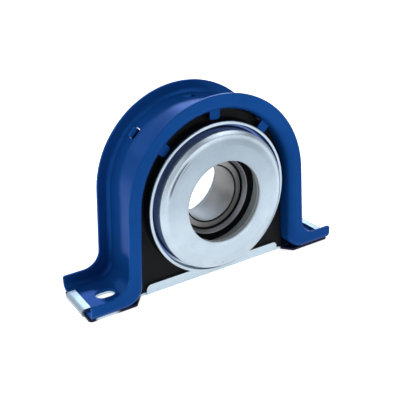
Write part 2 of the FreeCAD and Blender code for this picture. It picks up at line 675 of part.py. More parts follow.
# Retainers, dust shields, seals and flingers, one of each on either side
def make_side(name, side):
    def u(expression):
        return at_side(side, expression)

    # Retainer: a stepped cup whose outer rim shows as a ring round the dust shield.
    seat = "shield_radius + fit"
    bearing_seat = "outer_radius + fit"
    retainer = new_body(name + "_retainer")
    turned(retainer, "Revolution", "cup", [[
        ("ring_inner", u("ring_face"), "ring_round"),
        ("ring_outer", u("ring_face"), "ring_round"),
        ("ring_outer", u("ring_face - ring_depth"), "ring_round"),
        ("ring_inner + retainer_sheet", u("ring_face - ring_depth")),
        ("ring_inner + retainer_sheet", u("groove_floor - retainer_sheet")),
        (seat + " + retainer_sheet", u("groove_floor - retainer_sheet")),
        (seat + " + retainer_sheet", u("seat_floor - retainer_sheet")),
        (bearing_seat + " + retainer_sheet", u("seat_floor - retainer_sheet")),
        (bearing_seat + " + retainer_sheet", u("fit")),
        (bearing_seat, u("fit")),
        (bearing_seat, u("seat_floor"), "retainer_sheet"),
        (seat, u("seat_floor")),
        (seat, u("groove_floor"), "retainer_sheet"),
        ("ring_inner", u("groove_floor")),
    ]])
    # Dust shield: a plated cap with a rolled hole.
    shield = new_body(name + "_dust_shield")
    turned(shield, "Revolution", "cap", [[
        ("shield_radius", u("seat_floor + fit")),
        ("shield_radius", u("shield_face"), "shield_shoulder"),
        ("shield_hole", u("shield_face"), "shield_rim"),
        ("shield_hole", u("shield_lip")),
        ("shield_hole + shield_sheet", u("shield_lip")),
        ("shield_hole + shield_sheet", u("shield_face - shield_sheet"),
         "shield_rim - shield_sheet"),
        ("shield_radius - shield_sheet", u("shield_face - shield_sheet"),
         "shield_shoulder - shield_sheet"),
        ("shield_radius - shield_sheet", u("seat_floor + fit")),
    ]])
    # Seal case: a tube on a flange that stands on the outer ring.
    case = new_body(name + "_seal_case")
    case_back = "outer_half + fit"
    turned(case, "Revolution", "tube", [[
        ("case_bore", u(case_back)),
        ("outer_radius", u(case_back)),
        ("outer_radius", u(case_back + " + case_sheet"), "case_sheet / 4"),
        ("case_bore + case_sheet", u(case_back + " + case_sheet"), "case_sheet / 2"),
        ("case_bore + case_sheet", u("case_reach"), "case_sheet / 3"),
        ("case_bore", u("case_reach"), "case_sheet / 3"),
    ]])
    # Lip seal: rubber held in the case, its lip close to the flinger.
    seal = new_body(name + "_lip_seal")
    turned(seal, "Revolution", "ring", [[
        ("case_bore - fit", u("lip_back")),
        ("case_bore - fit", u("lip_front"), "seal_round"),
        ("lip_edge", u("lip_front"), "seal_round"),
        ("lip_tip", u("lip_back + lip_nose"), "seal_round"),
        ("lip_tip", u("lip_back")),
    ]])
    # Flinger: a thin sleeve on the inner ring that flares out in front of the lip.
    flinger = new_body(name + "_flinger")
    inside = "inner_shoulder + fit"
    turned(flinger, "Revolution", "flare", [[
        (inside, u("flinger_root")),
        (inside, u("flinger_neck")),
        (inside + " + flinger_flare", u("flinger_reach")),
        (inside + " + flinger_flare + flinger_sheet", u("flinger_reach"), "flinger_sheet / 3"),
        (inside + " + flinger_sheet", u("flinger_neck")),
        (inside + " + flinger_sheet", u("flinger_root")),
    ]])
    # Seal disc of the bearing itself, pressed in its recess.
    disc = new_body(name + "_bearing_seal")
    disc_back = "outer_half - seat_depth + fit"
    turned(disc, "Revolution", "disc", [[
        ("inner_shoulder + disc_gap", u(disc_back)),
        ("outer_shoulder + seat_depth - fit", u(disc_back)),
        ("outer_shoulder + seat_depth - fit", u(disc_back + " + disc_sheet")),
        ("inner_shoulder + disc_gap", u(disc_back + " + disc_sheet"), "disc_sheet / 3"),
    ]])


for side_name, side_sign in SIDES:
    make_side(side_name, side_sign)


# Ball bearing
def race_circle(body, radius):
    """Cuts the track of the balls, a circle turned about the shaft."""
    sketch = new_sketch(body, "track_section", "XY_Plane")
    circle_at(sketch, "pitch_radius", "0", radius)
    shaped(body, "Groove", "track", sketch, ReferenceAxis=(sketch, ["V_Axis"]), Angle=360)


def make_rings():
    outer = new_body("outer_ring")
    section = []
    for _, side in SIDES:
        run = [
            ("outer_shoulder", at_side(side, "outer_half - seat_depth")),
            ("outer_shoulder + seat_depth", at_side(side, "outer_half - seat_depth")),
            ("outer_shoulder + seat_depth", at_side(side, "outer_half")),
            ("outer_radius", at_side(side, "outer_half"), "outer_round"),
        ]
        section += run if side < 0 else run[::-1]
    turned(outer, "Revolution", "ring", [section])
    race_circle(outer, "ball_radius + race_gap")
    inner = new_body("inner_ring")
    section = []
    for name, side in SIDES:
        end = "inner_" + name
        run = [
            ("bore_radius", at_side(side, end + " - bore_chamfer")),
            ("bore_radius + bore_chamfer", at_side(side, end)),
            ("inner_shoulder", at_side(side, end), "inner_round"),
        ]
        section += run if side < 0 else run[::-1]
    turned(inner, "Revolution", "ring", [section])
    race_circle(inner, "ball_radius + race_gap")


make_rings()


def ball_place(number, half_steps=0):
    """Coordinates across the shaft of one of the places on the pitch circle."""
    angle = "360 / ball_count * (%d + %g)" % (number, half_steps / 2)
    return "pitch_radius * cos(%s)" % angle, "pitch_radius * sin(%s)" % angle


def around(body, name, original):
    """Repeats a feature at every ball's place round the shaft."""
    pattern = body.newObject("PartDesign::PolarPattern", name)
    pattern.Originals = [original]
    pattern.Axis = (origin_feature(body, "Y_Axis"), [""])
    pattern.Angle = 360
    bind(pattern, Occurrences="ball_count")
    body.Tip = pattern


def make_balls():
    body = new_body("balls")
    body.AllowCompound = True
    ball = body.newObject("PartDesign::AdditiveSphere", "balls_first")
    bind(ball, Radius="ball_radius", **{"Placement.Base.x": "pitch_radius"})
    around(body, "balls_around", ball)


make_balls()


def make_rivets():
    body = new_body("cage_rivets")
    body.AllowCompound = True
    x, z = ball_place(0, half_steps=1)
    grip = "fit + cage_sheet"
    section = [
        ("0", "-(%s) - rivet_cap" % grip),
        ("rivet_head", "-(%s) - rivet_cap" % grip, "rivet_round"),
        ("rivet_head", "-(%s)" % grip),
        ("rivet_radius", "-(%s)" % grip),
        ("rivet_radius", grip),
        ("rivet_head", grip),
        ("rivet_head", "%s + rivet_cap" % grip, "rivet_round"),
        ("0", "%s + rivet_cap" % grip),
    ]
    first = turned(body, "Revolution", "first", [section], offsets={"x": x, "z": z})
    around(body, "cage_rivets_around", first)


make_rivets()


def solid(kind, name, **bindings):
    """A plain solid of the document, its properties tied to the sheet."""
    feature = doc.addObject("Part::" + kind, name)
    bind(feature, **bindings)
    return feature


def combined(kind, name, *pieces):
    feature = doc.addObject("Part::" + kind, name)
    if kind in ("MultiFuse", "MultiCommon"):
        feature.Shapes = pieces
    else:
        feature.Base, feature.Tool = pieces
    return feature


# Turns a solid's own axis from Z to the shaft's direction.
ALONG_SHAFT = {
    "Placement.Rotation.Angle": "90",
    "Placement.Rotation.Axis.x": "1",
    "Placement.Rotation.Axis.z": "0",
}


def shaft_cylinder(name, radius, start, length, x="0", z="0"):
    """A cylinder along the shaft from start to start + length."""
    return solid("Cylinder", name, Radius=radius, Height=length, **{
        "Placement.Base.x": x,
        "Placement.Base.y": "%s + %s" % (start, length),
        "Placement.Base.z": z,
    }, **ALONG_SHAFT)


def ribbon(name, start, length):
    """The ring that the cage is pressed from, between two distances along the shaft."""
    outside = shaft_cylinder(name + "_outside", "pitch_radius + cage_band", start, length)
    hole = shaft_cylinder(name + "_hole", "pitch_radius - cage_band",
                          "(%s) - overcut" % start, "%s + 2 * overcut" % length)
    return combined("Cut", name, outside, hole)


def make_cage():
    """Two pressed ribbons with a round pocket for every ball, riveted between the balls."""
    hollow_radius = "ball_radius + cage_gap"
    shell_radius = "%s + cage_sheet" % hollow_radius
    shells, hollows, rivet_holes = [], [], []
    reach = "(%s)" % shell_radius
    for number in range(int(value("ball_count"))):
        x, z = ball_place(number)
        place = {"Placement.Base.x": x, "Placement.Base.z": z, **ALONG_SHAFT}
        shells.append(solid("Sphere", "shell_%d" % number, Radius=shell_radius, **place))
        hollows.append(solid("Sphere", "hollow_%d" % number, Radius=hollow_radius, **place))
        x, z = ball_place(number, half_steps=1)
        rivet_holes.append(shaft_cylinder(
            "rivet_hole_%d" % number, "rivet_radius + fit", "-(%s)" % reach, "2 * " + reach, x, z))
    pockets = combined("MultiFuse", "pocket_shells", *shells)
    openings = combined("MultiFuse", "pocket_hollows", *hollows, *rivet_holes)
    for name, side in SIDES:
        start = "fit" if side > 0 else "-fit - %s" % reach
        deep = ribbon(name + "_band", start, reach)
        start = "fit" if side > 0 else "-fit - cage_sheet"
        flat = ribbon(name + "_flat", start, "cage_sheet")
        domes = combined("MultiCommon", name + "_domes", deep, pockets)
        pressed = combined("MultiFuse", name + "_pressed", domes, flat)
        half = combined("Cut", name + "_cage_half", pressed, openings)
        half.Label = name + "_cage_half"
        parts.append(half)


make_cage()

doc.recompute()
faults = [f.Name for f in doc.Objects if "Invalid" in f.State or "Error" in f.State]
if faults:
    raise RuntimeError("features that failed: " + ", ".join(faults))
for part in parts:
    if part.Shape.isNull() or not part.Shape.isValid():
        raise RuntimeError("no valid shape: " + part.Label)

os.makedirs("parts", exist_ok=True)
for part in parts:
    part.Shape.exportStep(os.path.join("parts", part.Label + ".step"))
    print("%-22s %10.1f mm3 in %d" % (part.Label, part.Shape.Volume, len(part.Shape.Solids)))
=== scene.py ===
# %% [markdown]
# # A driveshaft centre bearing, dressed for its portrait
#
# A centre bearing carries the middle of a long driveshaft under a vehicle. Its solids come
# from the construction model: a blue pressed bracket, a zinc-plated strap, a rubber
# cushion, and a sealed ball bearing between plated retainers and dust shields. Here they
# get their finishes, the light and the camera, and six turned pieces get a richer section.
# The frame is loaded first, because every piece that follows rides on one of its bodies.

# %% Load the frame and keep its box
import json
import math

import bmesh
import bpy
from mathutils import Matrix, Vector


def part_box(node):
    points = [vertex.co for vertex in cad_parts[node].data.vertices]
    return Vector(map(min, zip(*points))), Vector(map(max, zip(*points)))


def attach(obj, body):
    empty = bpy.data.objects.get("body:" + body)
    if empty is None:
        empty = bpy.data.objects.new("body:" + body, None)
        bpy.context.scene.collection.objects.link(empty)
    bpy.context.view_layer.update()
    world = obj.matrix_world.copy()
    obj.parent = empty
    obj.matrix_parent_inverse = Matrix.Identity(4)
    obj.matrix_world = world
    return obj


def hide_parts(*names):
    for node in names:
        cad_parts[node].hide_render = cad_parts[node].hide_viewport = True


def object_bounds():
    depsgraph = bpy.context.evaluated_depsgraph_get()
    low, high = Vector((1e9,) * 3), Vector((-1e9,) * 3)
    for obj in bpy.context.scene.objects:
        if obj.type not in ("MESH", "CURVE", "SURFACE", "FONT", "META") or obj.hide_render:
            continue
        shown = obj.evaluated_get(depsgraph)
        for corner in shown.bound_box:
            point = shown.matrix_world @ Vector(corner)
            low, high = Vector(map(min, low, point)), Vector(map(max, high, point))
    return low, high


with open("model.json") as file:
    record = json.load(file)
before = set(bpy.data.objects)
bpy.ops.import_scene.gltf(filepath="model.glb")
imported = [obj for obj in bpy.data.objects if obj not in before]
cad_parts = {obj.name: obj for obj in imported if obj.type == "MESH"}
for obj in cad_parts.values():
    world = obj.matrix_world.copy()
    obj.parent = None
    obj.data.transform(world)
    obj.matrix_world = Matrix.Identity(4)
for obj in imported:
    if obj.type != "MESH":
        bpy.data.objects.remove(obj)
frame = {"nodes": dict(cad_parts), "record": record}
cad_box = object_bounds()
nodes = frame["nodes"]
bodies = frame["record"]["behaviour"]["bodies"]
body_of = {node: body for body, members in bodies.items() for node in members}


def in_mm(box):
    """The two corners of a box in millimetres, for printing."""
    return [tuple(round(c * 1000, 1) for c in corner) for corner in box]


print("box of the construction model:", in_mm(cad_box))

# %% [markdown]
# ## The camera
#
# The object is seen from the front left and from above, with a lens that shows only a
# little perspective. Azimuth, elevation and roll give three directions: to the right of the
# picture, up in it, and back towards the viewer. Those three are the columns of the
# camera's rotation. The plain Standard view keeps the white of the table white.

# %% Place the camera
AZIMUTH, ELEVATION, ROLL = (math.radians(a) for a in (-31.935, 23.972, -1.738))
STANDPOINT = (-0.2560, -0.4067, 0.2041)
LENS, SENSOR = 59.74, 36

back = Vector((
    math.sin(AZIMUTH) * math.cos(ELEVATION),
    -math.cos(AZIMUTH) * math.cos(ELEVATION),
    math.sin(ELEVATION),
))
level = Vector((math.cos(AZIMUTH), math.sin(AZIMUTH), 0))
plumb = back.cross(level)
right = math.cos(ROLL) * level + math.sin(ROLL) * plumb
up = -math.sin(ROLL) * level + math.cos(ROLL) * plumb

camera = bpy.data.objects.new("camera", bpy.data.cameras.new("camera"))
camera.matrix_world = Matrix((right, up, back)).transposed().to_4x4()
camera.location = STANDPOINT
camera.data.lens = LENS
camera.data.sensor_width = SENSOR
bpy.context.scene.collection.objects.link(camera)
bpy.context.scene.camera = camera
bpy.context.scene.view_settings.view_transform = "Standard"
print("camera at", tuple(round(c, 4) for c in camera.location))

# %% [markdown]
# ## The floor
#
# The part lies on a plain sheet, wide enough to fill the picture from any side. The sheet
# is a hair below the lowest face, so that the two never share a plane. It gets its
# material with the lamps, at the end, because it is one of them.

# %% Lay the floor
FLOOR_SIZE, FLOOR_GAP = 12.0, 0.0003
floor_height = cad_box[0].z - FLOOR_GAP


def flat_square(name, size, height):
    """A horizontal square, centred under the object."""
    half = size / 2
    corners = [(-half, -half), (half, -half), (half, half), (-half, half)]
    mesh = bpy.data.meshes.new(name)
    mesh.from_pydata([(x, y, height) for x, y in corners], [], [(0, 1, 2, 3)])
    square = bpy.data.objects.new(name, mesh)
    bpy.context.scene.collection.objects.link(square)
    return square


floor = flat_square("floor", FLOOR_SIZE, floor_height)
print("floor at", round(floor_height * 1000, 2), "mm")

# %% [markdown]
# ## Trees written as sums
#
# A material is a tree of nodes, and so is a Geometry Nodes recipe, but most of either is
# arithmetic. Wrapping a socket in a small class lets the arithmetic read as Python:
# `mask * 0.3 + 0.1` adds a Multiply and an Add node. The same class serves both kinds of
# tree. Every other node comes from one method, which sets its settings first and then the
# values or links of its sockets.

# %% The socket class


class Value:
    """An output socket that can be used in sums."""

    def __init__(self, maker, socket):
        self.maker, self.socket = maker, socket

    def math(self, operation, *others):
        """One Math node on this value and the others."""
        terms = dict(enumerate((self, *others)))
        return self.maker.node("ShaderNodeMath", {"operation": operation}, terms)

    def __add__(self, other):
        return self.math("ADD", other)

    def __sub__(self, other):
        return self.math("SUBTRACT", other)

    def __mul__(self, other):
        return self.math("MULTIPLY", other)

    def __truediv__(self, other):
        return self.math("DIVIDE", other)

    def __rsub__(self, other):
        return self * -1 + other

    def __rtruediv__(self, other):
        return self.math("POWER", -1.0) * other

    __radd__ = __add__
    __rmul__ = __mul__

    def between(self, low, high):
        """0 below low, 1 above high, and smooth from one to the other."""
        settings = {"interpolation_type": "SMOOTHSTEP"}
        wired = {"Value": self, "From Min": low, "From Max": high}
        return self.maker.node("ShaderNodeMapRange", settings, wired)

    def band(self, rise, fall):
        """1 from the end of rise to the start of fall, and 0 outside both."""
        return self.between(*rise) * (1 - self.between(*fall))

    def xyz(self):
        """The three parts of a vector."""
        split = self.maker.node("ShaderNodeSeparateXYZ", None, {"Vector": self})
        return [Value(self.maker, split.socket.node.outputs[axis]) for axis in "XYZ"]


# %% The tree builder


class Wiring:
    """A node tree whose nodes are added by method calls."""

    def __init__(self, tree):
        self.tree = tree

    def node(self, kind, settings=None, inputs=None, output=0):
        """Adds a node: its settings first, then the values or links of its sockets.

        The setting "stops" is for a colour ramp: pairs of a position and a colour.
        """
        made = self.tree.nodes.new(kind)
        for key, setting in (settings or {}).items():
            if key == "stops":
                ramp = made.color_ramp
                while len(ramp.elements) < len(setting):
                    ramp.elements.new(1.0)
                for element, (position, colour) in zip(ramp.elements, setting):
                    element.position, element.color = position, (*colour, 1)
            else:
                setattr(made, key, setting)
        for key, given in (inputs or {}).items():
            if isinstance(given, Value):
                self.tree.links.new(given.socket, made.inputs[key])
            else:
                made.inputs[key].default_value = given
        return Value(self, made.outputs[output])

    def vector(self, x=0.0, y=0.0, z=0.0):
        return self.node("ShaderNodeCombineXYZ", None, {"X": x, "Y": y, "Z": z})


# %% [markdown]
# ## What every finish needs
#
# The turned pieces are round about the shaft, which is the Y axis, so most of their masks
# are made from two lengths: the distance from the shaft and the distance from the middle
# plane. Both come from Object coordinates, which are metres here, so a scale of 650 is 650
# features in a metre, whatever piece it is used on.

# %% The material maker


class Finish(Wiring):
    """A material on object coordinates, in metres."""

    def __init__(self, name):
        self.material = bpy.data.materials.new(name)
        self.material.use_nodes = True
        super().__init__(self.material.node_tree)
        self.surface = self.tree.nodes["Principled BSDF"]
        self.place = self.node("ShaderNodeTexCoord", output="Object")

    def noise(self, scale, detail=3.0, roughness=0.5, place=None, seed=0.0):
        """A cloudy value round 0.5; scale is in features per metre."""
        wired = {"Vector": place or self.place, "Scale": scale, "Detail": detail,
                 "Roughness": roughness, "W": seed}
        return self.node("ShaderNodeTexNoise", {"noise_dimensions": "4D"}, wired)

    def blend(self, factor, first, second):
        """A colour between two others."""
        ends = [(*end, 1) if isinstance(end, tuple) else end for end in (first, second)]
        wired = {0: factor, 6: ends[0], 7: ends[1]}
        return self.node("ShaderNodeMix", {"data_type": "RGBA"}, wired, output=2)

    def radius(self):
        """Distance from the shaft's axis."""
        x, _, z = self.place.xyz()
        return (x * x + z * z).math("SQRT")

    def depth(self):
        """Distance from the middle plane, the same in front and behind."""
        return self.place.xyz()[1].math("ABSOLUTE")

    def rings(self, per_metre):
        """A value that changes across the radius and not at all around the shaft."""
        across = self.vector(x=self.radius() * per_metre)
        return self.noise(1.0, detail=4.0, roughness=0.75, place=across)

    def bumps(self, height, depth, strength=1.0):
        """Normals for a height of 0 to 1 that stands for depth in metres."""
        wired = {"Height": height, "Distance": depth, "Strength": strength}
        return self.node("ShaderNodeBump", None, wired)

    def wire(self, **sockets):
        """Feeds or sets sockets of the shader, named with _ for a space."""
        for key, given in sockets.items():
            socket = self.surface.inputs[key.replace("_", " ")]
            if isinstance(given, Value):
                self.tree.links.new(given.socket, socket)
            else:
                socket.default_value = given
        print(self.material.name, "has", len(self.tree.nodes), "nodes")
        return self.material


# %% [markdown]
# ## Blue paint
#
# The bracket is sprayed and baked: a deep blue with a satin skin, a little cloudy, with a
# few nicks down to the pale primer. Close up the skin has an orange peel, which breaks the
# sheen on the web into fine specks, so it is made as height and not as colour. A trace of
# metal and a blue tint on the reflections keep the highlights blue.
#
# The tabs are lanced from the web after it is bent, and leave windows in it. In there the
# paint is rough, and it is painted nearly black: a painted shade, for the shade that fills
# the windows. Two masks find those faces by where they are and which way they face. A cut
# wall lies below the top of the web, and faces neither the shaft nor away from the middle
# plane. The bend of a tab starts at the top of the web and faces the middle plane.

# %% Make the blue paint
PAINT_DEEP, PAINT_FULL = (0.0045, 0.046, 0.194), (0.0055, 0.056, 0.228)
PRIMER, WINDOW_SHADE = (0.16, 0.20, 0.27), (0.001, 0.004, 0.014)
PAINT_SHEEN = (0.30, 0.50, 1.0, 1)
PEEL_DEPTH = 0.00008
WEB_TOP = 0.0683
ABOVE_THE_LEGS = (0.020, 0.030)


def inside_windows(paint):
    """1 on what shows in a window of the arch: its cut walls and the bend of its tab."""
    x, y, z = paint.place.xyz()
    normal = paint.node("ShaderNodeTexCoord", output="Normal")
    normal_x, normal_y, normal_z = normal.xyz()
    outward = (x * normal_x + z * normal_z) / paint.radius()
    sideways = normal_y * y.math("SIGN")
    wall = 1 - paint.radius().between(WEB_TOP - 0.0008, WEB_TOP - 0.0002)
    wall = wall * (1 - sideways.between(0.3, 0.6)) * outward.between(-0.6, -0.3)
    bend = 1 - paint.radius().between(WEB_TOP + 0.00005, WEB_TOP + 0.00015)
    bend = bend * (1 - sideways.between(-0.30, -0.10))
    return wall.math("MAXIMUM", bend) * z.between(*ABOVE_THE_LEGS)


def blue_paint():
    paint = Finish("blue_paint")
    cloud = paint.noise(14, detail=4, roughness=0.6)
    fleck = paint.noise(900, detail=2, seed=3.0)
    nick = paint.noise(260, detail=3, roughness=0.7, seed=8.0).between(0.755, 0.775)
    colour = paint.blend(cloud.between(0.35, 0.7), PAINT_DEEP, PAINT_FULL)
    colour = paint.blend(nick, colour, PRIMER)
    peel = paint.noise(650, detail=3, roughness=0.6, seed=1.0)
    # Painted shade: the faces inside the windows are painted nearly black.
    window_shade = inside_windows(paint)
    return paint.wire(
        Base_Color=paint.blend(window_shade, colour, WINDOW_SHADE),
        Roughness=cloud * 0.06 + fleck * 0.06 + window_shade * 0.7 + 0.07,
        Metallic=0.20,
        Specular_IOR_Level=0.04,
        Specular_Tint=PAINT_SHEEN,
        Normal=paint.bumps(peel, PEEL_DEPTH, strength=0.9),
    )


# %% [markdown]
# ## Zinc plate
#
# Electroplated steel is almost white metal with a cool tint, and its gloss comes in slow
# clouds. Damp fingers leave grey smudges and a few dark specks. The shields, the retainers
# and the strap share these two helpers, and each adds its own marks, and painted shade
# where it lies in shade.

# %% What all zinc plate shares
SMUDGE, SPECK = (0.30, 0.36, 0.42), (0.10, 0.11, 0.12)


def mottled(zinc):
    """A slow cloud from 0 to 1, for the roughness of plate."""
    return zinc.noise(60, detail=5, roughness=0.6).between(0.3, 0.75)


def smudged(zinc, pale, dull):
    """The plate's colour with its cloud, smudges and specks."""
    cloud = zinc.noise(30, detail=5, roughness=0.65, seed=2.0)
    smudge = zinc.noise(90, detail=4, roughness=0.7, seed=6.0).between(0.58, 0.72)
    speck = zinc.noise(520, detail=2, seed=9.0).between(0.725, 0.75)
    colour = zinc.blend(cloud.between(0.3, 0.7), dull, pale)
    colour = zinc.blend(smudge * 0.30, colour, SMUDGE)
    return zinc.blend(speck * 0.7, colour, SPECK)


# %% [markdown]
# On the flat of a dust shield the plating mirrors nothing sharply, and it is painted darker
# towards the top, a painted shade. Where the press has rubbed it, on the rounded shoulder,
# it shows fine circles and the painted shade is left out, and at the upper left it is
# scored. The wall of the hole is greyer, with a dark seam just inside the edge. Each of
# these is a mask: 1 where the thing shows and 0 elsewhere.

# %% Make the zinc of the dust shields
TOP_SHADE, SCORE = (0.22, 0.27, 0.32), (0.05, 0.06, 0.07)
WALL, WALL_EDGE, SEAM = (0.34, 0.38, 0.39), (0.50, 0.56, 0.60), (0.03, 0.035, 0.04)
SEAM_RISE, SEAM_FALL, EDGE_RISE = (0.0296, 0.0299), (0.0303, 0.0306), (0.0302, 0.0312)
UPPER_LEFT_X, UPPER_LEFT_Z = -0.81, 0.58
SCORES_ACROSS, SCORES_ALONG = 1000, 25


def scored(zinc, shoulder):
    """1 on the long thin scores at the upper left of the shoulder."""
    x, _, z = zinc.place.xyz()
    stretched = zinc.vector(x=zinc.radius() * SCORES_ACROSS, y=z * SCORES_ALONG)
    line = zinc.noise(1.0, detail=1.0, place=stretched, seed=8.0).between(0.49, 0.54)
    towards = (z * UPPER_LEFT_Z + x * UPPER_LEFT_X) / zinc.radius()
    on_shoulder = zinc.radius().band(
        (shoulder - 0.0022, shoulder - 0.0015), (shoulder + 0.0012, shoulder + 0.002))
    return line * towards.between(0.93, 0.98) * on_shoulder


def shield_zinc(shoulder, hole):
    zinc = Finish("shield_zinc")
    rubbed = zinc.radius().between(shoulder - 0.001, shoulder + 0.002)
    inside = 1 - zinc.radius().between(hole + 0.0001, hole + 0.0004)
    grain = zinc.noise(2200, detail=2, seed=5.0)
    height = grain * 0.4 + zinc.rings(1500) * (rubbed * 0.8 + 0.3)
    # Painted shade: darker towards the top of the flat, but not on the shoulder.
    top_shade = zinc.place.xyz()[2].between(-0.040, 0.055) * (1 - rubbed)
    plate = smudged(zinc, pale=(0.51, 0.59, 0.65), dull=(0.42, 0.50, 0.57))
    plate = zinc.blend(top_shade * 0.75, plate, TOP_SHADE)
    plate = zinc.blend(scored(zinc, shoulder) * 0.8, plate, SCORE)
    wall = zinc.blend(zinc.depth().between(*EDGE_RISE), WALL, WALL_EDGE)
    wall = zinc.blend(zinc.depth().band(SEAM_RISE, SEAM_FALL) * 0.85, wall, SEAM)
    return zinc.wire(
        Base_Color=zinc.blend(inside, plate, wall),
        Roughness=mottled(zinc) * 0.10 + inside * 0.15 + 0.33,
        Metallic=1 - inside * 0.8,
        Normal=zinc.bumps(height, depth=0.000012, strength=0.6),
    )


# %% [markdown]
# A retainer is bright on its ring. The groove inside the ring is painted a dark blue, a
# painted shade for the shade in the groove, except low down, where it is left bright.

# %% Make the zinc of the retainers
GROOVE_SHADE = (0.09, 0.14, 0.34)
UNSHADED_BELOW = (-0.048, -0.030)


def retainer_zinc(groove_edge, ring_face):
    zinc = Finish("retainer_zinc")
    inside = 1 - zinc.radius().between(groove_edge, groove_edge + 0.0004)
    behind = 1 - zinc.depth().between(ring_face - 0.0006, ring_face)
    above = zinc.place.xyz()[2].between(*UNSHADED_BELOW)
    bright = smudged(zinc, pale=(0.48, 0.56, 0.62), dull=(0.40, 0.48, 0.54))
    return zinc.wire(
        # Painted shade: dark blue in the groove, except low down.
        Base_Color=zinc.blend(inside * behind * above, bright, GROOVE_SHADE),
        Roughness=mottled(zinc) * 0.12 + 0.26,
        Metallic=1.0,
        Normal=zinc.bumps(zinc.rings(1500), depth=0.000010, strength=0.5),
    )


# %% [markdown]
# ## The strap
#
# The strap is the same plate, pressed from strip that was rolled along its length, so its
# grain runs along X. Under the feet its edges lie in the bracket's shade, and that shade is
# painted on them as a dull navy that is not metal, all along the right foot and over part
# of the left one. The tongue that is folded over each foot stays bright, apart from the
# fold itself, which is painted grey as a painted shade.

# %% Make the strap's zinc
FOOT_SHADE, FOLD_SHADE = (0.003, 0.008, 0.026), (0.28, 0.33, 0.37)
ALONG, ACROSS = 40, 1800


def strap_zinc(waist, heel, end, tongue_half):
    zinc = Finish("strap_zinc")
    x, y, z = zinc.place.xyz()
    rolled = zinc.vector(x * ALONG, y * ACROSS, z * ACROSS)
    grain = zinc.noise(1.0, detail=3, roughness=0.7, place=rolled)
    leftward = x * -1
    right = x.between(waist, waist + 0.002)
    left = leftward.band((waist, waist + 0.002), (heel, heel + 0.006))
    left = left.math("MAXIMUM", leftward.between(end, end + 0.001))
    beside_tongue = y.math("ABSOLUTE").between(tongue_half, tongue_half + 0.0006)
    # Painted shade: the strap's edges under the feet are a dull navy, not metal.
    in_foot_shade = right.math("MAXIMUM", left) * beside_tongue
    fold = x.math("ABSOLUTE").between(end - 0.002, end)
    bright = smudged(zinc, pale=(0.53, 0.63, 0.70), dull=(0.46, 0.56, 0.64))
    # Painted shade: the fold at each outer end is painted grey.
    bright = zinc.blend(fold * 0.9, bright, FOLD_SHADE)
    return zinc.wire(
        Base_Color=zinc.blend(in_foot_shade, bright, FOOT_SHADE),
        Roughness=mottled(zinc) * 0.12 + 0.28,
        Metallic=1 - in_foot_shade,
        Specular_IOR_Level=0.1,
        Normal=zinc.bumps(grain, depth=0.000010, strength=0.5),
    )


# %% [markdown]
# ## Rubber
#
# The cushion is moulded black rubber: dull, with a fine grain from the mould and a grey
# bloom where it has been handled. The seals are a smoother, darker rubber, wet with grease.

# %% Make the rubbers


def rubber(name, dark, bloom, roughness):
    skin = Finish(name)
    cloud = skin.noise(35, detail=5, roughness=0.65)
    grain = skin.noise(1500, detail=3, seed=4.0)
    return skin.wire(
        Base_Color=skin.blend(cloud.between(0.4, 0.8), dark, bloom),
        Roughness=grain * 0.12 + roughness,
        Metallic=0.0,
        Specular_IOR_Level=0.12,
        Normal=skin.bumps(grain, depth=0.00004, strength=0.5),
    )


# %% [markdown]
# ## Bearing steel
#
# The rings are ground hard steel, much darker than zinc. Grinding leaves very fine lines
# round the axis, so the grain changes fast along the shaft and across the radius and not
# at all around. Oil gathers in the chamfer of the bore and in the seam beside the flinger
# and turns black there. The same finish, paler or darker, serves the flingers and the seal
# cases, which are seen only through the hole of a shield.

# %% Make the bearing steel
OIL = (0.012, 0.012, 0.013)
GRINDING_LINES = 2500


def ground_steel(name, pale, dull, oily=(), metallic=1.0):
    """oily lists (radius, half width) of the rings where oil has gathered."""
    steel = Finish(name)
    ground = steel.vector(
        x=steel.radius() * GRINDING_LINES, y=steel.place.xyz()[1] * GRINDING_LINES)
    lines = steel.noise(1.0, detail=3, roughness=0.7, place=ground)
    cloud = steel.noise(40, detail=4)
    colour = steel.blend(cloud.between(0.3, 0.7), dull, pale)
    for radius, reach in oily:
        away = (steel.radius() - radius).math("ABSOLUTE")
        colour = steel.blend(1 - away.between(reach * 0.6, reach), colour, OIL)
    return steel.wire(
        Base_Color=colour,
        Roughness=lines * 0.14 + 0.38,
        Metallic=metallic,
        Normal=steel.bumps(lines, depth=0.000006, strength=0.5),
    )


# %% [markdown]
# ## Dressing the nodes
#
# Each node of the frame gets the finish of its own piece in place of the plain one of its
# slot. The lengths that place the masks are those of the construction model, in metres:
# radii first, then the strap's places along X and half the width of its tongue.

# %% Put the finishes on
BORE, RING_SHOULDER, SHIELD_HOLE = 0.0225, 0.0285, 0.0324
SHIELD_SHOULDER, GROOVE_EDGE = 0.0490, 0.0578
WAIST, HEEL, STRAP_END, TONGUE_HALF = 0.066, 0.088, 0.108, 0.01475

